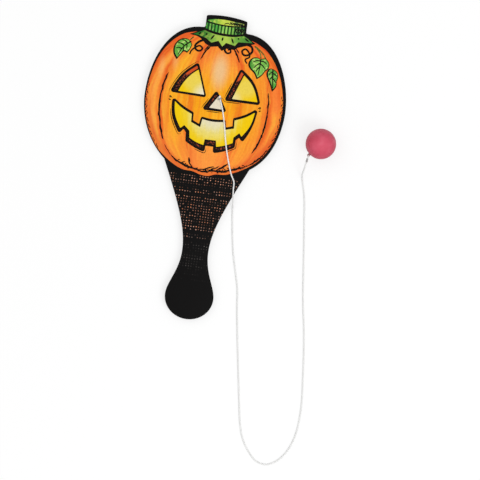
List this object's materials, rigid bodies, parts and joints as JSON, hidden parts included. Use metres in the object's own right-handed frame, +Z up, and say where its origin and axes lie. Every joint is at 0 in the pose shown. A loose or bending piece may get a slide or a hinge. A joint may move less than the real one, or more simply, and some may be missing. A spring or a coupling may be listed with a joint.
{
  "type": "paddle ball game",
  "caption": "Flat wooden paddle with a round printed blade and waisted handle, and a rubber ball tied to its face by a long stapled elastic, for bat-and-ball play.",
  "frame": {"origin": "centre of the blade on the board's flat back, which lies on the surface", "axes": "+Y along the handle from the grip to the stem, +Z up out of the printed face, +X to the side where the ball lies"},
  "size_m": [0.1601, 0.3568, 0.0246],
  "materials": {
    "board_wood": "plywood, edges painted black, back bare",
    "printed_face": "printed paper with a thin satin varnish",
    "staple_wire": "bright galvanised wire",
    "elastic": "matte white elastic",
    "ball_rubber": "matte moulded rubber"
  },
  "bodies": {
    "paddle": {"paddle_board": "board_wood", "face_print": "printed_face", "staple": "staple_wire", "stopper_knot": "elastic", "elastic_cord": "elastic"},
    "tether_end": {"tie_knot": "elastic"},
    "loop": {"tie_loop": "elastic"},
    "ball": {"ball": "ball_rubber"}
  },
  "joints": [
    {"name": "ball_travel", "type": "slide", "parent": "paddle", "child": "tether_end", "axis": [0, 0, 1], "range_m": [0, 0.3], "deforming": ["elastic_cord"]},
    {"name": "cord_twist", "type": "hinge", "parent": "tether_end", "child": "loop", "pos_m": [0.08065, -0.03569, 0.0123], "axis": [-0.1908, -0.9816, 0], "continuous": true},
    {"name": "ball_swing", "type": "hinge", "parent": "loop", "child": "ball", "pos_m": [0.08065, -0.03569, 0.0123], "axis": [0, 0, 1], "range_deg": [-46, 104]}
  ]
}
